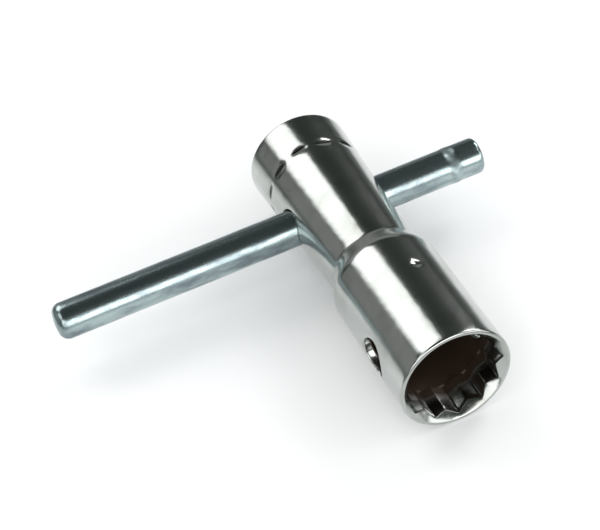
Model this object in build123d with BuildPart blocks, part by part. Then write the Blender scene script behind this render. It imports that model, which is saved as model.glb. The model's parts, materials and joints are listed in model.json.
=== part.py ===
from build123d import *
import math
import os

# Double-ended box spanner: a steel tube swaged out at both ends into twelve-point
# sockets, turned by a sliding tommy bar.
# Millimetres. The tube lies along X with the centre of the large socket's mouth at
# the origin and the mouth facing +X, the tommy bar lies along Y, and Z is up.

# Tube, measured back from the large mouth
tube_length = 76.5
large_od = 23.5
small_od = 23.2
waist_od = 19.6
large_body_length = 31.0      # straight part, from the mouth to the top of the shoulder
shoulder_length = 4.8         # cone from the straight part down to the waist
shoulder_blend = 5.0          # radius where the shoulder meets the straight part
waist_blend = 2.5             # radius where the shoulder meets the waist
mouth_edge_radius = 0.5       # tumbled outer edge of both mouths
waist_bore = 15.6             # the tube's own bore, left between the swaged ends

# Sockets: across flats, and how deep the twelve points run
large_af = 18.0
large_depth = 8.5
small_af = 17.0
small_depth = 9.5
lead_in = 0.55                # how far each lead-in cone opens past the points
large_relief_radius = 9.9     # round bore behind the large socket's points
small_relief_radius = 8.6     # round bore behind the small socket's points
small_relief_length = 4.0
relief_cone_length = 3.4      # cone from the large relief bore down to the waist bore
small_cone_length = 3.0

# Cross holes for the tommy bar
bar_hole_setback = 56.0
spare_hole_setback = 13.0
bar_hole_radius = 4.25
hole_edge_break = 0.35

# Stake marks: a ring of short dents that sets the stop inside the small socket
stake_count = 12
stake_setback = 10.3          # from the small mouth
stake_depth = 0.22
stake_tool_radius = 0.7
stake_tool_length = 8.0
stake_start_angle = 15.0

# Centre-punch dot on the large end
dot_setback = 21.5
dot_angle = 74.0
dot_tool_radius = 1.4
dot_depth = 0.3

# Tommy bar
bar_radius = 4.0
bar_plain_reach = 64.2        # from the tube's axis to the plain end, towards -Y
bar_crimp_reach = 34.3        # from the tube's axis to the crimped end, towards +Y
bar_end_crown = 0.7
plain_end_radius = 2.2
crimp_end_radius = 1.1
crimp_setback = 7.3           # from the crimped end to the middle of the crimp
crimp_length = 3.4
crimp_ear_reach = 4.5         # half width across the two ears, along X
crimp_dent_reach = 3.5        # half height left between the two dents, along Z

# Worked out from the above
large_radius = large_od / 2
small_radius = small_od / 2
waist_radius = waist_od / 2
bore_radius = waist_bore / 2
waist_x = -(large_body_length + shoulder_length)
crimp_start = bar_crimp_reach - crimp_setback - crimp_length / 2
crimp_end = crimp_start + crimp_length
tube_axis = Axis((0, 0, 0), (1, 0, 0))
bar_axis = Axis((-bar_hole_setback, 0, 0), (0, 1, 0))
bar_side_plane = Plane((-bar_hole_setback, 0, 0), x_dir=(0, 1, 0), z_dir=(0, 0, -1))


def corner_radius(across_flats):
    """Radius of the points of a socket made of two hexagons, 30 degrees apart."""
    return across_flats / 2 / math.cos(math.radians(30))


def tooth_radius(across_flats):
    """Radius of the teeth left between the points."""
    return across_flats / 2 / math.cos(math.radians(15))


def taper_radius(x):
    """Outer radius of the tapered rear stretch at a place along the tube."""
    share = (waist_x - x) / (waist_x + tube_length)
    return waist_radius + share * (small_radius - waist_radius)


os.makedirs("parts", exist_ok=True)

# socket_tube: the swaged tube with both sockets and both cross holes
with BuildPart() as socket_tube:
    with BuildSketch(Plane.XZ) as tube_outline:
        with BuildLine():
            Polyline(
                (0, 0),
                (0, large_radius),
                (-large_body_length, large_radius),
                (waist_x, waist_radius),
                (-tube_length, small_radius),
                (-tube_length, 0),
                close=True,
            )
        make_face()
        rim_corners = [
            corner for corner in tube_outline.vertices()
            if corner.Y > waist_radius + 1 and corner.X in (0, -tube_length)
        ]
        fillet(rim_corners, mouth_edge_radius)
        shoulder_top = tube_outline.vertices().sort_by_distance((-large_body_length, large_radius))[0]
        fillet(shoulder_top, shoulder_blend)
        shoulder_foot = tube_outline.vertices().sort_by_distance((waist_x, waist_radius))[0]
        fillet(shoulder_foot, waist_blend)
    revolve(axis=tube_axis)

    # The round bore, with its relief behind each socket
    with BuildSketch(Plane.XZ):
        with BuildLine():
            Polyline(
                (-large_depth, 0),
                (-large_depth, large_relief_radius),
                (-large_body_length + relief_cone_length / 2, large_relief_radius),
                (-large_body_length - relief_cone_length / 2, bore_radius),
                (-tube_length + small_depth + small_relief_length + small_cone_length, bore_radius),
                (-tube_length + small_depth + small_relief_length, small_relief_radius),
                (-tube_length + small_depth, small_relief_radius),
                (-tube_length + small_depth, 0),
                close=True,
            )
        make_face()
    revolve(axis=tube_axis, mode=Mode.SUBTRACT)

    # Twelve points at each end, then the lead-in cone over them
    for mouth_plane, across_flats, depth in (
        (Plane.YZ, large_af, large_depth),
        (Plane.YZ.offset(-tube_length), small_af, -small_depth),
    ):
        with BuildSketch(mouth_plane):
            for turn in (0, 30):
                RegularPolygon(corner_radius(across_flats), 6, rotation=turn)
        extrude(amount=-depth, mode=Mode.SUBTRACT)
    for mouth_x, inward, across_flats in ((0, -1, large_af), (-tube_length, 1, small_af)):
        lead_radius = corner_radius(across_flats) + lead_in
        with BuildSketch(Plane.XZ):
            with BuildLine():
                Polyline(
                    (mouth_x, 0),
                    (mouth_x, lead_radius),
                    (mouth_x + inward * lead_radius, 0),
                    close=True,
                )
            make_face()
        revolve(axis=tube_axis, mode=Mode.SUBTRACT)

    # Cross holes, straight through both walls, with their sharp edges broken
    for setback in (bar_hole_setback, spare_hole_setback):
        with Locations(Plane((-setback, 0, 0), x_dir=(1, 0, 0), z_dir=(0, 1, 0))):
            Hole(radius=bar_hole_radius)
        hole_edges = [
            edge for edge in socket_tube.edges()
            if abs(edge.bounding_box().center().X + setback) < hole_edge_break
            and abs(edge.bounding_box().size.Z - 2 * bar_hole_radius) < hole_edge_break
        ]
        outer_edges = ShapeList(hole_edges).sort_by(lambda edge: abs(edge.bounding_box().center().Y))[-2:]
        fillet(outer_edges, hole_edge_break)

    # Ring of stake marks round the small end
    stake_x = -tube_length + stake_setback
    stake_centre = taper_radius(stake_x) - stake_depth + stake_tool_radius
    with Locations(Plane.YZ.offset(stake_x)):
        with PolarLocations(stake_centre, stake_count, start_angle=stake_start_angle):
            Cylinder(stake_tool_radius, stake_tool_length, rotation=(90, 0, 0), mode=Mode.SUBTRACT)

    # Centre-punch dot
    with Locations(Plane.YZ.offset(-dot_setback)):
        with PolarLocations(large_radius - dot_depth + dot_tool_radius, 1, start_angle=dot_angle):
            Sphere(dot_tool_radius, mode=Mode.SUBTRACT)

socket_tube.part.label = "socket_tube"
export_step(socket_tube.part, "parts/socket_tube.step")


# tommy_bar: a plain rod with one dressed end and one crimped end
with BuildPart() as tommy_bar:
    with BuildSketch(bar_side_plane) as plain_outline:
        with BuildLine():
            dome = TangentArc(
                (-bar_plain_reach, 0),
                (bar_end_crown - bar_plain_reach, bar_radius),
                tangent=(0, 1),
            )
            Polyline(dome @ 1, (crimp_start, bar_radius), (crimp_start, 0), dome @ 0)
        make_face()
        fillet(plain_outline.vertices().group_by(Axis.Y)[-1].sort_by(Axis.X)[0], plain_end_radius)
    revolve(axis=bar_axis)

    # The crimp: the rod's round section pinched flat and wide, then round again
    crimp_sections = (
        (crimp_start, bar_radius, bar_radius),
        (crimp_start + crimp_length / 2, crimp_ear_reach, crimp_dent_reach),
        (crimp_end, bar_radius, bar_radius),
    )
    for y, across, upright in crimp_sections:
        with BuildSketch(Plane((-bar_hole_setback, y, 0), x_dir=(1, 0, 0), z_dir=(0, 1, 0))):
            Ellipse(across, upright)
    loft()

    with BuildSketch(bar_side_plane) as crimped_outline:
        with BuildLine():
            crown = TangentArc(
                (bar_crimp_reach, 0),
                (bar_crimp_reach - bar_end_crown, bar_radius),
                tangent=(0, 1),
            )
            Polyline(crown @ 1, (crimp_end, bar_radius), (crimp_end, 0), crown @ 0)
        make_face()
        fillet(crimped_outline.vertices().group_by(Axis.Y)[-1].sort_by(Axis.X)[-1], crimp_end_radius)
    revolve(axis=bar_axis)

tommy_bar.part.label = "tommy_bar"
export_step(tommy_bar.part, "parts/tommy_bar.step")
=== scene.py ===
import json
import math

import bmesh
import bpy
from bpy.props import FloatProperty, FloatVectorProperty, PointerProperty
from mathutils import Matrix, Vector, noise


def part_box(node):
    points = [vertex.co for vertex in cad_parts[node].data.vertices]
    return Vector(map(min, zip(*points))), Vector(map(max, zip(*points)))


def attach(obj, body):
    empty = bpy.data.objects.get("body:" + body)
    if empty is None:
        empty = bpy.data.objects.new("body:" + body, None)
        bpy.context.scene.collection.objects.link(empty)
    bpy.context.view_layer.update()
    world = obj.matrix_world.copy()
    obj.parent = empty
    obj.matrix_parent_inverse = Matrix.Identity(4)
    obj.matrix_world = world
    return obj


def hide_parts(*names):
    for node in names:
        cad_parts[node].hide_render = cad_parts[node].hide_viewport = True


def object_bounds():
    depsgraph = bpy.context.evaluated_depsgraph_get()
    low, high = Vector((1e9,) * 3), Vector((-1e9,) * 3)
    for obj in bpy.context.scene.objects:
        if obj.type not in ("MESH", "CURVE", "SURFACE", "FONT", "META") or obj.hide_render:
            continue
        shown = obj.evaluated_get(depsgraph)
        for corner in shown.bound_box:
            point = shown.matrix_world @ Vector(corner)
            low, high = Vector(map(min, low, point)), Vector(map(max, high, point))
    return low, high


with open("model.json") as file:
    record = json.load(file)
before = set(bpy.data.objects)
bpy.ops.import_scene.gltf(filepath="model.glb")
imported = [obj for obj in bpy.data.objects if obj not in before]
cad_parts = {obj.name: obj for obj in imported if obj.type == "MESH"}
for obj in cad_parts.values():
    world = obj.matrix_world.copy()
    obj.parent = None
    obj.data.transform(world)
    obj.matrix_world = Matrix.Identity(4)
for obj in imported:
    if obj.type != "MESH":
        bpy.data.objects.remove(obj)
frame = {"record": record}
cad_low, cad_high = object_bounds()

bl_info = {
    "name": "Double-Ended Box Spanner",
    "version": (1, 0, 0),
    "blender": (4, 5, 0),
    "location": "View3D > Sidebar > Box Spanner",
    "description": "A swaged tube with two twelve-point sockets and its sliding tommy bar",
    "category": "Add Mesh",
}

MM = 0.001

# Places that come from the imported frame
tube_low, tube_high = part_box("socket_tube")
bar_low, bar_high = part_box("tommy_bar")
TUBE_LENGTH = tube_high.x - tube_low.x
LARGE_RADIUS = tube_high.y
BAR_PLACE = (bar_low.x + bar_high.x) / 2
BAR_RADIUS = bar_high.z
EAR_REACH = bar_high.x - BAR_PLACE
SPARE_HOLE = next(m for m in frame["record"]["mounts"] if m["name"] == "spare_bar_hole")
SPARE_PLACE = SPARE_HOLE["pos_m"][0]

# Columns of the tube's mesh: each half step of a socket runs from a point to a tooth,
# and its columns stand closer together at both
STEP = 15.0
STEPS = int(360 / STEP)
FIRST_ANGLE = -90.0
POINT_TO_TOOTH = (0.0, 0.7, 1.4, 3.2, 6.0, 9.0, 12.0, 14.35)
WINDOW_STEPS = ((3, 9), (15, 21))      # the steps that the two walls' cross holes lie in

BAR_COLUMNS = 112


def linear(hex_colour):
    """Turns an sRGB hex colour into the linear values that shaders mix."""
    shares = [int(hex_colour[i:i + 2], 16) / 255 for i in (1, 3, 5)]
    return tuple(s / 12.92 if s <= 0.04045 else ((s + 0.055) / 1.055) ** 2.4 for s in shares)


def length(name, description, millimetres):
    """A length that the user can change, given in millimetres."""
    return FloatProperty(
        name=name, description=description, default=millimetres * MM, min=0.0, precision=5,
        subtype="DISTANCE", unit="LENGTH",
    )


def colour(name, description, hex_colour):
    """A colour that the user can change, given as sRGB hex."""
    return FloatVectorProperty(
        name=name, description=description, default=linear(hex_colour), min=0.0, max=1.0,
        size=3, subtype="COLOR",
    )


class SPANNER_PG_tube(bpy.types.PropertyGroup):
    """Sizes of the swaged tube that its box doesn't give"""
    small_radius: length("Small End Radius", "Outer radius at the small mouth", 11.6)
    waist_radius: length("Waist Radius", "Outer radius at the foot of the shoulder", 9.8)
    large_body: length("Large Body", "Straight length behind the large mouth", 31.0)
    shoulder: length("Shoulder", "Length of the cone down to the waist", 4.8)
    shoulder_blend: length("Shoulder Blend", "Radius at the top of the shoulder", 5.0)
    waist_blend: length("Waist Blend", "Radius at the foot of the shoulder", 2.5)
    mouth_edge: length("Mouth Edge", "Radius of the tumbled outer edge of both mouths", 0.5)
    large_flats: length("Large Across Flats", "Nut size of the large socket", 18.0)
    large_depth: length("Large Depth", "How deep the large socket's points run", 8.35)
    large_relief: length("Large Relief", "Bore radius behind the large socket", 9.9)
    large_cone: length("Large Cone", "Cone from the large relief down to the waist bore", 3.4)
    small_flats: length("Small Across Flats", "Nut size of the small socket", 17.0)
    small_depth: length("Small Depth", "How deep the small socket's points run", 9.35)
    small_relief: length("Small Relief", "Bore radius behind the small socket", 8.6)
    small_relief_length: length("Small Relief Length", "Straight bore behind the small socket", 4.0)
    small_cone: length("Small Cone", "Cone from the small relief down to the waist bore", 3.0)
    bore_radius: length("Waist Bore", "Bore radius between the swaged ends", 7.8)
    lead_in: length("Lead-in", "How far each mouth's cone opens past the points", 0.55)
    hole_radius: length("Hole Radius", "Radius of both cross holes", 4.25)
    hole_edge: length("Hole Edge Break", "Radius that breaks each hole's outer edge", 0.35)
    stake_setback: length("Stake Setback", "Ring of stake marks from the small mouth", 10.3)
    stake_depth: length("Stake Depth", "Depth of each stake mark", 0.22)
    dot_setback: length("Dot Setback", "Centre-punch dot from the large mouth", 21.5)
    dot_depth: length("Dot Depth", "Depth of the centre-punch dot", 0.3)


class SPANNER_PG_bar(bpy.types.PropertyGroup):
    """Sizes of the tommy bar that its box doesn't give"""
    crown: length("End Crown", "How far each end domes out", 0.7)
    plain_edge: length("Plain End Edge", "Edge radius of the dressed end", 2.2)
    crimped_edge: length("Crimped End Edge", "Edge radius of the sheared end", 1.1)
    crimp_setback: length("Crimp Setback", "Crimp's middle from its end of the bar", 7.3)
    crimp_length: length("Crimp Length", "Length of the pinched stretch", 3.4)
    crimp_dent: length("Crimp Dent", "How far the crimp's two flats sink", 0.3)


class SPANNER_PG_finish(bpy.types.PropertyGroup):
    """Colours of the metals and of the floor"""
    chrome: colour("Chrome", "Bright chrome plate", "#C0C3C0")
    chrome_shade: colour("Chrome Shade", "Thinner plate, where the nickel shows through", "#ADB0AA")
    bare_steel: colour("Bare Steel", "Oiled and unplated steel deep in the bore", "#3F3126")
    # Stake Shadow is painted shade: a dark colour mixed into the punched stake marks
    mark: colour("Stake Shadow", "Residue left in the punched marks", "#4E504A")
    zinc: colour("Zinc", "Blue-passivated zinc on the bar", "#AFBFC0")
    zinc_shade: colour("Zinc Shade", "Duller patches of the passivated film", "#78848B")
    floor: colour("Floor", "Matt paper under the spanner", "#F2F3F3")
    # Floor Shade is painted shade: the paper's colour in the metal's reflections away from the spanner
    floor_shade: colour("Floor Shade", "How the metal mirrors the paper further off", "#5C605E")


class SPANNER_PG_stage(bpy.types.PropertyGroup):
    """Camera of the product view"""
    azimuth: FloatProperty(
        name="Azimuth", description="Camera's place round the spanner",
        default=math.radians(74.883), subtype="ANGLE", unit="ROTATION",
    )
    elevation: FloatProperty(
        name="Elevation", description="Camera's height above the horizon",
        default=math.radians(43.11), subtype="ANGLE", unit="ROTATION",
    )
    roll: FloatProperty(
        name="Roll", description="Camera's turn about its own line of sight",
        default=math.radians(-11.773), subtype="ANGLE", unit="ROTATION",
    )
    distance: length("Distance", "From the camera to the crossing of bar and tube", 350.0)
    aim_right: length("Aim Right", "Sideways step of the camera", 7.815)
    aim_down: length("Aim Down", "Downward step of the camera", 11.564)
    lens: FloatProperty(
        name="Lens", description="Focal length", default=98.4, min=1.0, subtype="DISTANCE_CAMERA",
    )


# Outline of the tube

EDGE_FIT = 0.98               # a mouth's edge arc stops just short of filling its corner
LEDGE_SLOPE = 0.1 * MM        # how far the ledge behind a socket's points leans
COUNT_SLACK = 1e-6            # keeps a rounding error from adding a row


def rounded(points, radii, steps=6):
    """The line through these points, with an arc of each inner point's radius."""
    line = [Vector(points[0])]
    for before, corner, after, radius in zip(points, points[1:], points[2:], radii):
        corner = Vector(corner)
        back = (Vector(before) - corner).normalized()
        ahead = (Vector(after) - corner).normalized()
        half = back.angle(ahead) / 2
        centre = corner + (back + ahead).normalized() * (radius / math.sin(half))
        start = corner + back * (radius / math.tan(half)) - centre
        end = corner + ahead * (radius / math.tan(half)) - centre
        for step in range(steps + 1):
            line.append(centre + start.lerp(end, step / steps).normalized() * radius)
    return line + [Vector(points[-1])]


def between(line, place):
    """The line's height at a place along it, where each place has one height."""
    for near, far in zip(line, line[1:]):
        if far.x <= place <= near.x and near.x > far.x:
            return near.y + (far.y - near.y) * (near.x - place) / (near.x - far.x)
    return line[-1].y if place < line[-1].x else line[0].y


def outside_line(sizes):
    """Outer outline from the large mouth's face to the small one's, as (x, radius)."""
    shoulder_x = -sizes.large_body
    waist_x = shoulder_x - sizes.shoulder
    mouth_arc = sizes.mouth_edge * EDGE_FIT
    return rounded(
        [
            (0, LARGE_RADIUS - sizes.mouth_edge),
            (0, LARGE_RADIUS),
            (shoulder_x, LARGE_RADIUS),
            (waist_x, sizes.waist_radius),
            (-TUBE_LENGTH, sizes.small_radius),
            (-TUBE_LENGTH, sizes.small_radius - sizes.mouth_edge),
        ],
        [mouth_arc, sizes.shoulder_blend, sizes.waist_blend, mouth_arc],
    )


def bore_line(sizes):
    """Inner outline between the two sockets, as (x, radius)."""
    cone_x = -sizes.large_body
    cone_half = sizes.large_cone / 2
    small_bottom = -TUBE_LENGTH + sizes.small_depth
    small_relief_end = small_bottom + sizes.small_relief_length
    return [
        Vector((-sizes.large_depth - LEDGE_SLOPE, sizes.large_relief)),
        Vector((cone_x + cone_half, sizes.large_relief)),
        Vector((cone_x - cone_half, sizes.bore_radius)),
        Vector((small_relief_end + sizes.small_cone, sizes.bore_radius)),
        Vector((small_relief_end, sizes.small_relief)),
        Vector((small_bottom + LEDGE_SLOPE, sizes.small_relief)),
    ]


def places_between(start, end, spacing):
    """Even places from start to end, no further apart than the spacing."""
    count = max(1, math.ceil(abs(end - start) / spacing - COUNT_SLACK))
    return [start + (end - start) * i / count for i in range(count + 1)]


def column_angles():
    """Angles of the tube's columns from +Y towards +Z, in degrees."""
    angles = []
    for step in range(STEPS):
        first = FIRST_ANGLE + step * STEP
        if step % 2 == 0:
            angles += [first + a for a in POINT_TO_TOOTH]
        else:
            angles += [first] + [first + STEP - a for a in reversed(POINT_TO_TOOTH[1:])]
    return angles


def from_point(angle):
    """How far an angle is from the nearest socket point, in degrees, 15 at a tooth."""
    turned = angle % (2 * STEP)
    return min(turned, 2 * STEP - turned)


def point_radius(flats):
    """Radius of the points of a socket made of two hexagons, 30 degrees apart."""
    return flats / 2 / math.cos(math.radians(30))


def socket_radius(angle, flats, point_round=0.5 * MM, tooth_round=0.35 * MM):
    """Radius of a twelve-point socket's wall at an angle, its points and teeth slightly rounded."""
    turn = math.radians(from_point(angle))
    tooth_turn = math.radians(STEP) - turn
    radius = flats / 2 / math.cos(math.radians(30) - turn)
    point_centre = point_radius(flats) - point_round / math.sin(math.radians(60))
    if point_centre * math.sin(turn) < point_round / 2:
        across = point_centre * math.sin(turn)
        radius = point_centre * math.cos(turn) + math.sqrt(point_round ** 2 - across ** 2)
    tooth_centre = (flats / 2 + tooth_round) / math.cos(math.radians(STEP))
    if tooth_centre * math.sin(tooth_turn) < tooth_round * math.sin(math.radians(STEP)):
        across = tooth_centre * math.sin(tooth_turn)
        radius = tooth_centre * math.cos(tooth_turn) - math.sqrt(tooth_round ** 2 - across ** 2)
    return radius


# Dents and ripples

STAKES = 12
STAKE_FIRST = 15.0
STAKE_HALF_LENGTH = 2.2 * MM
STAKE_HALF_WIDTH = 0.68 * MM
DOT_ANGLE = 74.0
DOT_RADIUS = 0.9 * MM
RIPPLE_LOBES = 1.1            # how finely the ripples change round the section
TUBE_RIPPLE = (14 * MM, 0.035 * MM)     # spacing along the metal, and depth
BAR_RIPPLE = (9 * MM, 0.03 * MM)


def stake_share(place, angle, radius, sizes):
    """0 off the stake marks, rising to 1 in the middle of one."""
    along = (place + TUBE_LENGTH - sizes.stake_setback) / STAKE_HALF_WIDTH
    pitch = 360 / STAKES
    turn = (angle - STAKE_FIRST + pitch / 2) % pitch - pitch / 2
    across = math.radians(turn) * radius / STAKE_HALF_LENGTH
    return max(0.0, 1 - along ** 2) * max(0.0, 1 - across ** 2)


def dot_share(place, angle, radius, sizes):
    """0 off the centre-punch dot, rising to 1 at its middle."""
    along = place + sizes.dot_setback
    across = math.radians((angle - DOT_ANGLE + 180) % 360 - 180) * radius
    return max(0.0, 1 - (along ** 2 + across ** 2) / DOT_RADIUS ** 2)


def ripple(place, angle, spacing, depth):
    """A shallow hollow left by forming and tumbling, never above the true surface."""
    turn = math.radians(angle)
    spot = Vector((place / spacing, RIPPLE_LOBES * math.cos(turn), RIPPLE_LOBES * math.sin(turn)))
    return depth * (0.5 + 0.5 * noise.noise(spot))


class TubeShape:
    """The tube's outer and inner surfaces as functions of place and angle."""

    def __init__(self, sizes):
        self.sizes = sizes
        self.outline = outside_line(sizes)
        self.bore = bore_line(sizes)

    def mark(self, place, angle):
        """0 off the stake marks, rising to 1 in the middle of one."""
        return stake_share(place, angle, between(self.outline, place), self.sizes)

    def outer(self, place, angle):
        """Radius of the outer surface, with its dents and ripples."""
        radius = between(self.outline, place)
        sunk = self.sizes.stake_depth * stake_share(place, angle, radius, self.sizes)
        sunk += self.sizes.dot_depth * dot_share(place, angle, radius, self.sizes)
        return radius - sunk - ripple(place, angle, *TUBE_RIPPLE)

    def inner(self, place, angle):
        """Radius of the bore, which is the same at every angle."""
        return between(self.bore, place)

    def on_wall(self, surface, place, height, side):
        """The point of a surface at this place and height, on the wall that side faces."""
        turn = math.asin(height / surface(place, 0.0))
        angle = math.degrees(turn if side > 0 else math.pi - turn)
        radius = surface(place, angle)
        return Vector((place, side * math.sqrt(radius ** 2 - height ** 2), height))


# Rows of the tube's mesh

SAME_PLACE = 1e-7             # places nearer than this are one place
OUTER_ROW = 1.3 * MM          # spacing of the rows: plain outer surface, holes, dents and bore
HOLE_ROW = 0.5 * MM
STAKE_ROW = 0.15 * MM
DOT_ROW = 0.22 * MM
BORE_ROW = 2 * MM

# Each hole's opening is cut from a window in the outer surface and one in the bore. Both have
# the same number of rows, so that their rings meet vertex to vertex down the hole's wall
CROSS_HOLES = {"spare": SPARE_PLACE, "bar": BAR_PLACE}
WINDOW_ROWS = 24
OUTER_WINDOW_HALF = WINDOW_ROWS * HOLE_ROW / 2
INNER_WINDOWS = {"bar": (-6.0 * MM, 6.0 * MM), "spare": (-5.5 * MM, 4.5 * MM)}

MOUTH_BREAK = 0.15 * MM       # edge between a mouth's face and its lead-in cone
POINT_BEVEL = 0.07 * MM       # edge between the lead-in cone and the points
POINT_FOOT = 0.12 * MM        # where the points end, just above their ledge
POINT_ROWS = 5


def socket_rows(angles, mouth, inward, flats, depth, relief, lead_in):
    """Rows from a mouth's face down its lead-in cone and its points to the relief bore."""
    cone_radius = point_radius(flats) + lead_in
    edge = rounded(
        [
            (mouth, cone_radius + MM),
            (mouth, cone_radius),
            (mouth + inward * MM, cone_radius - MM),
        ],
        [MOUTH_BREAK],
        steps=3,
    )
    rows = [[(point.x, point.y)] * len(angles) for point in edge[1:-1]]
    wall = [socket_radius(angle, flats) for angle in angles]
    rows.append([(mouth + inward * (cone_radius - r - POINT_BEVEL), r + POINT_BEVEL) for r in wall])
    foot = depth - POINT_FOOT
    for i in range(POINT_ROWS + 1):
        row = []
        for r in wall:
            top = cone_radius - r + POINT_BEVEL
            row.append((mouth + inward * (top + (foot - top) * i / POINT_ROWS), r))
        rows.append(row)
    rows.append([(mouth + inward * (depth + LEDGE_SLOPE), relief)] * len(angles))
    return rows


def outer_places(shape):
    """Places of the outer surface's rows, closer together at the holes, dents and bends."""
    sizes = shape.sizes
    stops = {0.0, -TUBE_LENGTH}
    for point in shape.outline:
        if all(abs(point.x - hole) > OUTER_WINDOW_HALF for hole in CROSS_HOLES.values()):
            stops.add(point.x)
    for middle, half, spacing in (
        (SPARE_PLACE, OUTER_WINDOW_HALF, HOLE_ROW),
        (BAR_PLACE, OUTER_WINDOW_HALF, HOLE_ROW),
        (sizes.stake_setback - TUBE_LENGTH, STAKE_HALF_WIDTH, STAKE_ROW),
        (-sizes.dot_setback, DOT_RADIUS, DOT_ROW),
    ):
        stops.update(places_between(middle + half, middle - half, spacing))
    ordered = sorted(stops, reverse=True)
    places = []
    for near, far in zip(ordered, ordered[1:]):
        if near - far > SAME_PLACE:
            places += places_between(near, far, OUTER_ROW)[:-1]
    return places + [-TUBE_LENGTH]


def bore_places(shape):
    """Places of the bore's rows, from the small socket's ledge to the large one's."""
    stops = {point.x for point in shape.bore[1:-1]}
    for name, centre in CROSS_HOLES.items():
        low, high = INNER_WINDOWS[name]
        stops = {x for x in stops if not centre + low < x < centre + high}
        stops.update(centre + low + (high - low) * i / WINDOW_ROWS for i in range(WINDOW_ROWS + 1))
    ordered = [shape.bore[-1].x, *sorted(stops), shape.bore[0].x]
    places = []
    for near, far in zip(ordered, ordered[1:]):
        places += places_between(near, far, BORE_ROW)[1:]
    return places[:-1]


def rows_within(rows, first, low, high):
    """Indexes of the rows, from the first one asked for, that lie from low to high."""
    return [
        i for i in range(first, len(rows)) if low - SAME_PLACE < rows[i][0][0] < high + SAME_PLACE
    ]


def tube_rows(shape, angles):
    """Rows of (x, radius) once round the wall's section, and the rows of each hole's windows."""
    sizes = shape.sizes
    columns = len(angles)
    windows = {}
    rows = [[(0.0, LARGE_RADIUS - sizes.mouth_edge)] * columns]
    for place in outer_places(shape)[1:-1]:
        rows.append([(place, shape.outer(place, angle)) for angle in angles])
    rows.append([(-TUBE_LENGTH, sizes.small_radius - sizes.mouth_edge)] * columns)
    for name, centre in CROSS_HOLES.items():
        low = centre - OUTER_WINDOW_HALF
        high = centre + OUTER_WINDOW_HALF
        windows[name, "outer"] = rows_within(rows, 0, low, high)
    rows += socket_rows(
        angles, -TUBE_LENGTH, 1, sizes.small_flats, sizes.small_depth, sizes.small_relief,
        sizes.lead_in,
    )
    first_of_bore = len(rows)
    for place in bore_places(shape):
        rows.append([(place, shape.inner(place, 0.0))] * columns)
    for name, centre in CROSS_HOLES.items():
        low, high = INNER_WINDOWS[name]
        inside = rows_within(rows, first_of_bore, centre + low, centre + high)
        windows[name, "inner"] = inside[::-1]
    large = socket_rows(
        angles, 0.0, -1, sizes.large_flats, sizes.large_depth, sizes.large_relief, sizes.lead_in,
    )
    return rows + large[::-1], windows


# The tube's mesh

WINDOW_RINGS = 6
EDGE_RINGS = 4
WALL_RINGS = 4
TUBE_SHARP = 33               # degrees between faces: sharp over this, smooth under it
PLATED_DEPTH = 3 * MM         # chrome reaches this far into a mouth before it starts to thin
BARE_DEPTH = 9 * MM


def window_rim(rows, columns):
    """(row, column) of a window's edge, once round, from its +X side towards +angle."""
    rim = [(rows[0], column) for column in columns]
    rim += [(row, columns[-1]) for row in rows[1:]]
    rim += [(rows[-1], column) for column in reversed(columns[:-1])]
    rim += [(row, columns[0]) for row in reversed(rows[1:-1])]
    return rim


def bore_share(place):
    """0 where the chrome covers the inside, 1 where the steel is bare."""
    depth = min(-place, place + TUBE_LENGTH)
    share = (depth - PLATED_DEPTH) / (BARE_DEPTH - PLATED_DEPTH)
    share = min(1.0, max(0.0, share))
    return share * share * (3 - 2 * share)


def smooth_mesh(mesh, name, sharp_degrees=30):
    """Turns a bmesh into an object with smooth faces and sharp edges over an angle."""
    bmesh.ops.recalc_face_normals(mesh, faces=mesh.faces)
    data = bpy.data.meshes.new(name)
    mesh.to_mesh(data)
    mesh.free()
    data.shade_smooth()
    data.set_sharp_from_angle(angle=math.radians(sharp_degrees))
    made = bpy.data.objects.new(name, data)
    bpy.context.scene.collection.objects.link(made)
    return made


def bridge(mesh, first, second):
    """Faces between two closed rings of the same count."""
    for i in range(len(first)):
        j = (i + 1) % len(first)
        mesh.faces.new((first[i], first[j], second[j], second[i]))


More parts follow.
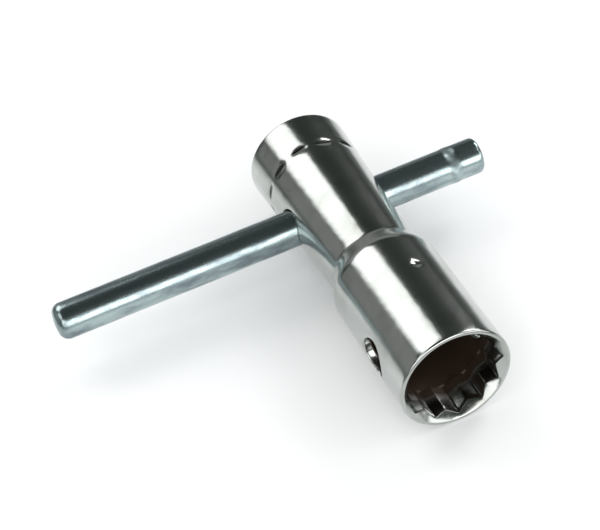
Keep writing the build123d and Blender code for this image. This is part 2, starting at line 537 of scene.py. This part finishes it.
class CrossHole:
    """One cross hole through one wall: rings in from both windows, and the wall between them."""

    def __init__(self, mesh, shape, centre, side, outer_rim, inner_rim):
        self.mesh = mesh
        self.shape = shape
        self.centre = Vector((centre, 0))
        self.side = side
        self.outer_rim = outer_rim
        self.inner_rim = inner_rim
        # One direction for each vertex of the outer rim, from the hole's middle towards it
        self.spokes = [(Vector((v.co.x, v.co.z)) - self.centre).normalized() for v in outer_rim]

    def flat_ring(self, surface, rim, share, reach):
        """Vertices on a surface, part of the way from a window's rim to the hole."""
        made = []
        for vertex, spoke in zip(rim, self.spokes):
            spot = Vector((vertex.co.x, vertex.co.z)).lerp(self.centre + spoke * reach, share)
            made.append(self.mesh.verts.new(self.shape.on_wall(surface, spot.x, spot.y, self.side)))
        return made

    def sunk_ring(self, reach, depth):
        """Vertices in the hole, that far under the outer surface."""
        made = []
        for spoke in self.spokes:
            spot = self.centre + spoke * reach
            point = self.shape.on_wall(self.shape.outer, spot.x, spot.y, self.side)
            point.y -= self.side * depth
            made.append(self.mesh.verts.new(point))
        return made

    def fill(self, bare):
        """Fills both windows up to the hole, and makes the hole's rounded edge and wall."""
        radius = self.shape.sizes.hole_radius
        edge = self.shape.sizes.hole_edge
        rings = [self.outer_rim]
        for step in range(1, WINDOW_RINGS + 1):
            share = step / WINDOW_RINGS
            rings.append(self.flat_ring(self.shape.outer, self.outer_rim, share, radius + edge))
        for step in range(1, EDGE_RINGS + 1):
            turn = math.pi / 2 * step / EDGE_RINGS
            reach = radius + edge * (1 - math.sin(turn))
            rings.append(self.sunk_ring(reach, edge * (1 - math.cos(turn))))
        bore_rings = [self.inner_rim]
        for step in range(1, WINDOW_RINGS + 1):
            share = step / WINDOW_RINGS
            bore_rings.append(self.flat_ring(self.shape.inner, self.inner_rim, share, radius))
            for vertex in bore_rings[-1]:
                vertex[bare] = bore_share(vertex.co.x)
        ends = list(zip(rings[-1], bore_rings[-1]))
        for step in range(1, WALL_RINGS):
            share = step / WALL_RINGS
            rings.append([self.mesh.verts.new(top.co.lerp(foot.co, share)) for top, foot in ends])
        rings.append(bore_rings[-1])
        for line in (rings, bore_rings):
            for first, second in zip(line, line[1:]):
                bridge(self.mesh, first, second)


def tube_mesh(sizes):
    """The whole tube as one closed mesh: both surfaces, both mouths and four hole walls."""
    shape = TubeShape(sizes)
    angles = column_angles()
    rows, windows = tube_rows(shape, angles)
    small_mouth_row = next(i for i, row in enumerate(rows) if row[0][0] < SAME_PLACE - TUBE_LENGTH)
    mesh = bmesh.new()
    bare = mesh.verts.layers.float.new("bare_steel")
    marked = mesh.verts.layers.float.new("stake_mark")
    grid = {}

    def corner(row, column):
        """The grid's vertex, made the first time that it is asked for."""
        key = (row % len(rows), column % len(angles))
        if key not in grid:
            place, radius = rows[key[0]][key[1]]
            turn = math.radians(angles[key[1]])
            made = mesh.verts.new((place, radius * math.cos(turn), radius * math.sin(turn)))
            if key[0] > small_mouth_row:
                made[bare] = bore_share(place)
            else:
                made[marked] = shape.mark(place, angles[key[1]])
            grid[key] = made
        return grid[key]

    per_step = len(POINT_TO_TOOTH)
    spans = [(first * per_step, last * per_step) for first, last in WINDOW_STEPS]
    cut = set()
    for inside in windows.values():
        for first, last in spans:
            for row in range(min(inside), max(inside)):
                cut.update((row, column) for column in range(first, last))
    for row in range(len(rows)):
        for column in range(len(angles)):
            if (row, column) not in cut:
                mesh.faces.new((
                    corner(row, column),
                    corner(row, column + 1),
                    corner(row + 1, column + 1),
                    corner(row + 1, column),
                ))

    for name, centre in CROSS_HOLES.items():
        for (first, last), side in zip(spans, (1, -1)):
            columns = list(range(first, last + 1))
            outer_rim = [corner(*spot) for spot in window_rim(windows[name, "outer"], columns)]
            inner_rim = [corner(*spot) for spot in window_rim(windows[name, "inner"], columns)]
            CrossHole(mesh, shape, centre, side, outer_rim, inner_rim).fill(bare)
    return mesh


# The bar's mesh

DOME_STEPS = 8
DOME_EDGE_STEPS = 10
SHAFT_ROW = 1.5 * MM          # spacing of the rings: plain shaft, crimp, and stub past it
CRIMP_ROW = 0.2 * MM
STUB_ROW = 1.0 * MM
BAR_SHARP = 40


def dome(tip, inward, crown, edge):
    """(y, radius) from the tip of a crowned end, round its edge, to the rod's full radius."""
    ball = (BAR_RADIUS ** 2 + crown ** 2) / (2 * crown)
    seat = BAR_RADIUS - edge
    reach = math.asin(seat / (ball - edge))
    line = []
    for step in range(DOME_STEPS + 1):
        turn = reach * step / DOME_STEPS
        line.append((tip + inward * ball * (1 - math.cos(turn)), ball * math.sin(turn)))
    centre = tip + inward * (ball - (ball - edge) * math.cos(reach))
    for step in range(1, DOME_EDGE_STEPS + 1):
        turn = reach + (math.pi / 2 - reach) * step / DOME_EDGE_STEPS
        line.append((centre - inward * edge * math.cos(turn), seat + edge * math.sin(turn)))
    return line


def bar_mesh(sizes):
    """The rod as one closed mesh: two domed ends and the pinched stretch near one of them."""
    crimp_y = bar_high.y - sizes.crimp_setback
    half = sizes.crimp_length / 2
    plain = dome(bar_low.y, 1, sizes.crown, sizes.plain_edge)
    crimped = dome(bar_high.y, -1, sizes.crown, sizes.crimped_edge)
    shaft = places_between(plain[-1][0], crimp_y - half, SHAFT_ROW)[1:-1]
    shaft += places_between(crimp_y - half, crimp_y + half, CRIMP_ROW)
    shaft += places_between(crimp_y + half, crimped[-1][0], STUB_ROW)[1:-1]
    line = plain + [(y, BAR_RADIUS) for y in shaft] + crimped[::-1]
    mesh = bmesh.new()
    rubbed = mesh.verts.layers.float.new("crimp_rub")
    rings = []
    for y, radius in line[1:-1]:
        pinch = 0.0
        if abs(y - crimp_y) < half:
            pinch = math.cos(math.pi / 2 * (y - crimp_y) / half) ** 2
        across = radius + pinch * (EAR_REACH - BAR_RADIUS)
        upright = radius - pinch * sizes.crimp_dent
        ring = []
        for column in range(BAR_COLUMNS):
            angle = 360 * column / BAR_COLUMNS
            turn = math.radians(angle)
            worn = 1 - ripple(y, angle, *BAR_RIPPLE) / BAR_RADIUS
            vertex = mesh.verts.new((
                BAR_PLACE + across * worn * math.cos(turn), y, upright * worn * math.sin(turn)
            ))
            vertex[rubbed] = pinch
            ring.append(vertex)
        rings.append(ring)
    for first, second in zip(rings, rings[1:]):
        bridge(mesh, first, second)
    for ring, y in ((rings[0], bar_low.y), (rings[-1], bar_high.y)):
        pole = mesh.verts.new((BAR_PLACE, y, 0))
        for i in range(BAR_COLUMNS):
            mesh.faces.new((ring[i], ring[(i + 1) % BAR_COLUMNS], pole))
    return mesh


# Materials

def add_node(tree, kind, settings=None, inputs=None):
    """Adds a node, sets its properties, and gives each input a value or a link."""
    made = tree.nodes.new(kind)
    for name, value in (settings or {}).items():
        setattr(made, name, value)
    for name, value in (inputs or {}).items():
        if isinstance(value, bpy.types.NodeSocket):
            tree.links.new(value, made.inputs[name])
        else:
            made.inputs[name].default_value = value
    return made


def new_material(name):
    """An empty node material and its tree."""
    made = bpy.data.materials.new(name)
    made.use_nodes = True
    made.node_tree.nodes.clear()
    return made, made.node_tree


def opaque(rgb):
    """A colour property as the four values that a colour socket takes."""
    return (*rgb, 1.0)


def chrome_plated_swaged_steel(finish):
    """Bright chrome over nickel on a tumbled steel tube, plated as one piece.

    The eye gets a near mirror with soft edges, long faint polishing lines, patches where
    the plate is thinner, and a bore where the plating gives out and oiled steel shows.
    """
    made, tree = new_material("chrome_plated_swaged_steel")
    where = add_node(tree, "ShaderNodeTexCoord").outputs["Object"]
    # Polishing lines run along the tube. Real ones are about 0.05 mm apart, too fine to
    # show, so they are drawn 0.35 mm apart
    along = add_node(tree, "ShaderNodeMapping", inputs={"Vector": where, "Scale": (0.03, 1.0, 1.0)})
    lines = add_node(tree, "ShaderNodeTexNoise", inputs={
        "Vector": along.outputs[0], "Scale": 1 / (0.35 * MM), "Detail": 2.0, "Roughness": 0.6,
    })
    # Thin plate comes and goes over about 7 mm
    patches = add_node(tree, "ShaderNodeTexNoise", inputs={
        "Vector": where, "Scale": 1 / (7 * MM), "Detail": 4.0, "Roughness": 0.55,
    })
    thin = add_node(tree, "ShaderNodeMapRange", inputs={
        "Value": patches.outputs["Fac"], "From Min": 0.45, "From Max": 0.75,
    })
    plate = add_node(tree, "ShaderNodeMix", {"data_type": "RGBA"}, {
        0: thin.outputs[0], 6: opaque(finish.chrome), 7: opaque(finish.chrome_shade),
    })
    # Painted shade: the plate is darkened towards the Stake Shadow colour inside the stake marks, most
    # in their middles
    stake = add_node(tree, "ShaderNodeAttribute", {"attribute_name": "stake_mark"})
    stake_shade = add_node(tree, "ShaderNodeMapRange", inputs={
        "Value": stake.outputs["Fac"], "From Min": 0.12, "From Max": 0.5,
    })
    stake_shaded = add_node(tree, "ShaderNodeMix", {"data_type": "RGBA"}, {
        0: stake_shade.outputs[0], 6: plate.outputs[2], 7: opaque(finish.mark),
    })
    bore = add_node(tree, "ShaderNodeAttribute", {"attribute_name": "bare_steel"})
    edge = add_node(tree, "ShaderNodeMath", {"operation": "MULTIPLY_ADD"}, {
        0: patches.outputs["Fac"], 1: 0.5, 2: bore.outputs["Fac"],
    })
    unplated = add_node(tree, "ShaderNodeMapRange", inputs={
        "Value": edge.outputs[0], "From Min": 0.35, "From Max": 0.85,
    })
    metal = add_node(tree, "ShaderNodeMix", {"data_type": "RGBA"}, {
        0: unplated.outputs[0], 6: stake_shaded.outputs[2], 7: opaque(finish.bare_steel),
    })
    polished = add_node(tree, "ShaderNodeMapRange", inputs={
        "Value": lines.outputs["Fac"], "To Min": 0.14, "To Max": 0.21,
    })
    roughness = add_node(tree, "ShaderNodeMix", {"data_type": "FLOAT"}, {
        0: unplated.outputs[0], 2: polished.outputs[0], 3: 0.55,
    })
    # Orange peel under the plate, about 2.5 mm from crest to crest
    peel = add_node(tree, "ShaderNodeTexNoise", inputs={
        "Vector": where, "Scale": 1 / (2.5 * MM), "Detail": 1.0, "Roughness": 0.4,
    })
    peel_bump = add_node(tree, "ShaderNodeBump", inputs={
        "Height": peel.outputs["Fac"], "Strength": 1.0, "Distance": 0.028 * MM,
    })
    line_bump = add_node(tree, "ShaderNodeBump", inputs={
        "Height": lines.outputs["Fac"], "Strength": 1.0, "Distance": 0.0025 * MM,
        "Normal": peel_bump.outputs[0],
    })
    # Oil and scale on the bare steel hide part of its shine
    bare_metal = add_node(tree, "ShaderNodeMapRange", inputs={
        "Value": unplated.outputs[0], "From Min": 0.6, "To Min": 1.0, "To Max": 0.5,
    })
    shader = add_node(tree, "ShaderNodeBsdfPrincipled", inputs={
        "Base Color": metal.outputs[2], "Metallic": bare_metal.outputs[0],
        "Roughness": roughness.outputs[0], "Normal": line_bump.outputs[0],
    })
    add_node(tree, "ShaderNodeOutputMaterial", inputs={"Surface": shader.outputs[0]})
    return made


def zinc_plated_drawn_rod(finish):
    """Blue-passivated zinc on cold-drawn rod.

    The eye gets a cool, slightly blue-green metal, softer than the chrome, with drawing
    lines along the rod and duller patches where the film is thicker.
    """
    made, tree = new_material("zinc_plated_drawn_rod")
    where = add_node(tree, "ShaderNodeTexCoord").outputs["Object"]
    # Drawing lines, really 0.05 mm apart, drawn 0.4 mm apart so that they show
    along = add_node(tree, "ShaderNodeMapping", inputs={"Vector": where, "Scale": (1.0, 0.04, 1.0)})
    lines = add_node(tree, "ShaderNodeTexNoise", inputs={
        "Vector": along.outputs[0], "Scale": 1 / (0.4 * MM), "Detail": 3.0, "Roughness": 0.6,
    })
    # Patches of the passivated film, about 5 mm across and drawn out along the rod
    drawn_out = add_node(tree, "ShaderNodeMapping", inputs={"Vector": where, "Scale": (1.0, 0.35, 1.0)})
    patches = add_node(tree, "ShaderNodeTexNoise", inputs={
        "Vector": drawn_out.outputs[0], "Scale": 1 / (3 * MM), "Detail": 5.0, "Roughness": 0.6,
    })
    dull = add_node(tree, "ShaderNodeMapRange", inputs={
        "Value": patches.outputs["Fac"], "From Min": 0.42, "From Max": 0.68,
    })
    film = add_node(tree, "ShaderNodeMix", {"data_type": "RGBA"}, {
        0: dull.outputs[0], 6: opaque(finish.zinc), 7: opaque(finish.zinc_shade),
    })
    rub = add_node(tree, "ShaderNodeAttribute", {"attribute_name": "crimp_rub"})
    even = add_node(tree, "ShaderNodeMapRange", inputs={
        "Value": dull.outputs[0], "To Min": 0.24, "To Max": 0.34,
    })
    roughness = add_node(tree, "ShaderNodeMix", {"data_type": "FLOAT"}, {
        0: rub.outputs["Fac"], 2: even.outputs[0], 3: 0.5,
    })
    film_bump = add_node(tree, "ShaderNodeBump", inputs={
        "Height": patches.outputs["Fac"], "Strength": 1.0, "Distance": 0.05 * MM,
    })
    line_bump = add_node(tree, "ShaderNodeBump", inputs={
        "Height": lines.outputs["Fac"], "Strength": 1.0, "Distance": 0.012 * MM,
        "Normal": film_bump.outputs[0],
    })
    shader = add_node(tree, "ShaderNodeBsdfPrincipled", inputs={
        "Base Color": film.outputs[2], "Metallic": 1.0, "Roughness": roughness.outputs[0],
        "Normal": line_bump.outputs[0],
    })
    add_node(tree, "ShaderNodeOutputMaterial", inputs={"Surface": shader.outputs[0]})
    return made


def matt_paper(finish):
    """Uncoated white paper: the eye gets an even, pale ground with no shine, and the metal mirrors a
    painted pool of light on it.
    """
    made, tree = new_material("matt_paper")
    where = add_node(tree, "ShaderNodeTexCoord").outputs["Object"]
    # Paper fibres, drawn 0.8 mm across
    fibre = add_node(tree, "ShaderNodeTexNoise", inputs={"Vector": where, "Scale": 1 / (0.8 * MM)})
    bump = add_node(tree, "ShaderNodeBump", inputs={
        "Height": fibre.outputs["Fac"], "Strength": 0.3, "Distance": 0.02 * MM,
    })
    paper = add_node(tree, "ShaderNodeBsdfPrincipled", inputs={
        "Base Color": opaque(finish.floor), "Roughness": 0.9, "Normal": bump.outputs[0],
    })
    # The metal mirrors a painted pool of light: for glossy rays the paper fades to the painted shade of
    # Floor Shade further from the spanner
    shaded = add_node(tree, "ShaderNodeBsdfDiffuse", inputs={"Color": opaque(finish.floor_shade)})
    reach = add_node(tree, "ShaderNodeVectorMath", {"operation": "LENGTH"}, {0: where})
    away = add_node(tree, "ShaderNodeMapRange", inputs={
        "Value": reach.outputs["Value"], "From Min": POOL_RADIUS, "From Max": POOL_FADE,
    })
    rays = add_node(tree, "ShaderNodeLightPath")
    mirrored = add_node(tree, "ShaderNodeMath", {"operation": "MULTIPLY"}, {
        0: away.outputs[0], 1: rays.outputs["Is Glossy Ray"],
    })
    ground = add_node(tree, "ShaderNodeMixShader", inputs={
        0: mirrored.outputs[0], 1: paper.outputs[0], 2: shaded.outputs[0],
    })
    add_node(tree, "ShaderNodeOutputMaterial", inputs={"Surface": ground.outputs[0]})
    return made


# Stage

FLOOR_RADIUS = 2.0
POOL_RADIUS = 55 * MM         # painted pool of light: paper that the metal mirrors at full strength
POOL_FADE = 150 * MM          # where that painted pool has faded into painted shade
PANEL_DISTANCE = 2.5

# Soft panels: name, two directions that each one spans as (azimuth, elevation) in degrees,
# height in degrees, and brightness
PANELS = (
    ("window_panel", (-88, 38), (-47, 38), 32, 1.65),       # the tube's broad highlight
    ("right_card", (32, 20), (74, 20), 38, 1.5),            # right side of the lead-in cone
    ("front_card", (76, 17), (118, 17), 32, 2.4),           # the rod's highlight
    ("left_card", (120, 14), (168, 14), 26, 1.5),           # left side of the lead-in cone
    ("side_card", (-48, 12), (10, 12), 30, 0.2),            # grey stripe under the highlight
    ("back_card", (-125, 10), (-58, 10), 22, 0.2),          # grey of the shoulder's cone
    ("hole_card", (-164, 30), (-142, 30), 26, 4.5),         # shines through the spare hole
    ("near_side_panel", (-24, 44), (26, 44), 22, 1.0),      # highlights seen from either side of the tube
    ("far_side_panel", (148, 44), (188, 44), 22, 1.0),
)


def towards(azimuth, elevation):
    """The direction from the spanner to a place round it, both angles in radians."""
    level = math.cos(elevation)
    return Vector((math.sin(azimuth) * level, -math.cos(azimuth) * level, math.sin(elevation)))


def soft_panel(name, start, end, height, brightness):
    """A flat soft light from one direction to another, each (azimuth, elevation) in degrees."""
    first = towards(*map(math.radians, start))
    last = towards(*map(math.radians, end))
    facing = (first + last).normalized()
    run = (last - first).normalized()
    light = bpy.data.lights.new(name, "AREA")
    light.shape = "RECTANGLE"
    light.size = 2 * PANEL_DISTANCE * math.tan(first.angle(last) / 2)
    light.size_y = 2 * PANEL_DISTANCE * math.tan(math.radians(height) / 2)
    light.energy = 4 * light.size * light.size_y * brightness
    panel = bpy.data.objects.new(name, light)
    turn = Matrix((run, facing.cross(run), facing)).transposed()
    panel.matrix_world = Matrix.LocRotScale(facing * PANEL_DISTANCE, turn, None)
    panel.visible_camera = False
    bpy.context.scene.collection.objects.link(panel)
    return panel


def studio_world():
    """A pale room that lights the floor evenly; what the metal mirrors of it is dim."""
    world = bpy.data.worlds.new("studio_room")
    world.use_nodes = True
    tree = world.node_tree
    tree.nodes.clear()
    rays = add_node(tree, "ShaderNodeLightPath")
    pale = add_node(tree, "ShaderNodeBackground", inputs={
        "Color": opaque(linear("#F4F5F6")), "Strength": 0.7,
    })
    dim = add_node(tree, "ShaderNodeBackground", inputs={
        "Color": opaque(linear("#3A3F3C")), "Strength": 1.0,
    })
    mixed = add_node(tree, "ShaderNodeMixShader", inputs={
        0: rays.outputs["Is Glossy Ray"], 1: pale.outputs[0], 2: dim.outputs[0],
    })
    add_node(tree, "ShaderNodeOutputWorld", inputs={"Surface": mixed.outputs[0]})
    bpy.context.scene.world = world


def paper_floor():
    """A round sheet under the tube's lowest line."""
    mesh = bmesh.new()
    bmesh.ops.create_circle(mesh, cap_ends=True, segments=128, radius=FLOOR_RADIUS)
    floor = smooth_mesh(mesh, "paper_floor")
    floor.location = (BAR_PLACE, 0, cad_low.z)
    return floor


def product_camera(stage):
    """The camera of the product view, looking down past the large mouth."""
    back = towards(stage.azimuth, stage.elevation)
    level_right = Vector((0, 0, 1)).cross(back).normalized()
    level_up = back.cross(level_right)
    right = math.cos(stage.roll) * level_right + math.sin(stage.roll) * level_up
    up = math.cos(stage.roll) * level_up - math.sin(stage.roll) * level_right
    crossing = Vector((BAR_PLACE, 0, 0))
    place = crossing + back * stage.distance - right * stage.aim_right - up * stage.aim_down
    data = bpy.data.cameras.new("product_camera")
    data.lens = stage.lens
    camera = bpy.data.objects.new("product_camera", data)
    camera.matrix_world = Matrix.LocRotScale(place, Matrix((right, up, back)).transposed(), None)
    bpy.context.scene.collection.objects.link(camera)
    bpy.context.scene.camera = camera


# Operators and panel

class SPANNER_OT_add_tube(bpy.types.Operator):
    """Add the chrome-plated tube with its sockets, cross holes and stake marks"""
    bl_idname = "spanner.add_tube"
    bl_label = "Add Socket Tube"

    def execute(self, context):
        mesh = tube_mesh(context.scene.spanner_tube)
        tube = smooth_mesh(mesh, "chrome_socket_tube", TUBE_SHARP)
        tube.data.materials.append(chrome_plated_swaged_steel(context.scene.spanner_finish))
        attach(tube, "tube")
        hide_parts("socket_tube")
        return {"FINISHED"}


class SPANNER_OT_add_bar(bpy.types.Operator):
    """Add the zinc-plated tommy bar with its dressed end and its crimp"""
    bl_idname = "spanner.add_bar"
    bl_label = "Add Tommy Bar"

    def execute(self, context):
        mesh = bar_mesh(context.scene.spanner_bar)
        bar = smooth_mesh(mesh, "zinc_tommy_bar", BAR_SHARP)
        bar.data.materials.append(zinc_plated_drawn_rod(context.scene.spanner_finish))
        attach(bar, "bar")
        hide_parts("tommy_bar")
        return {"FINISHED"}


class SPANNER_OT_set_stage(bpy.types.Operator):
    """Add the paper floor, the soft panels, the room and the product camera"""
    bl_idname = "spanner.set_stage"
    bl_label = "Set Stage"

    def execute(self, context):
        floor = paper_floor()
        floor.data.materials.append(matt_paper(context.scene.spanner_finish))
        for panel in PANELS:
            soft_panel(*panel)
        studio_world()
        product_camera(context.scene.spanner_stage)
        context.scene.view_settings.view_transform = "Standard"
        return {"FINISHED"}


class SPANNER_PT_panel(bpy.types.Panel):
    """Sizes, colours and steps of the spanner"""
    bl_idname = "SPANNER_PT_panel"
    bl_label = "Box Spanner"
    bl_space_type = "VIEW_3D"
    bl_region_type = "UI"
    bl_category = "Box Spanner"

    def draw(self, context):
        for title, group, operator in (
            ("Tube", "spanner_tube", "spanner.add_tube"),
            ("Bar", "spanner_bar", "spanner.add_bar"),
            ("Finish", "spanner_finish", None),
            ("Stage", "spanner_stage", "spanner.set_stage"),
        ):
            box = self.layout.box()
            box.label(text=title)
            settings = getattr(context.scene, group)
            for name in settings.__annotations__:
                box.prop(settings, name)
            if operator:
                box.operator(operator)


GROUPS = {
    "spanner_tube": SPANNER_PG_tube,
    "spanner_bar": SPANNER_PG_bar,
    "spanner_finish": SPANNER_PG_finish,
    "spanner_stage": SPANNER_PG_stage,
}
CLASSES = (
    *GROUPS.values(),
    SPANNER_OT_add_tube,
    SPANNER_OT_add_bar,
    SPANNER_OT_set_stage,
    SPANNER_PT_panel,
)


def register():
    for made in CLASSES:
        bpy.utils.register_class(made)
    for name, group in GROUPS.items():
        setattr(bpy.types.Scene, name, PointerProperty(type=group))


def unregister():
    for name in GROUPS:
        delattr(bpy.types.Scene, name)
    for made in reversed(CLASSES):
        bpy.utils.unregister_class(made)


def main():
    register()
    bpy.ops.spanner.add_tube()
    bpy.ops.spanner.add_bar()
    bpy.ops.spanner.set_stage()


if __name__ == "__main__":
    main()
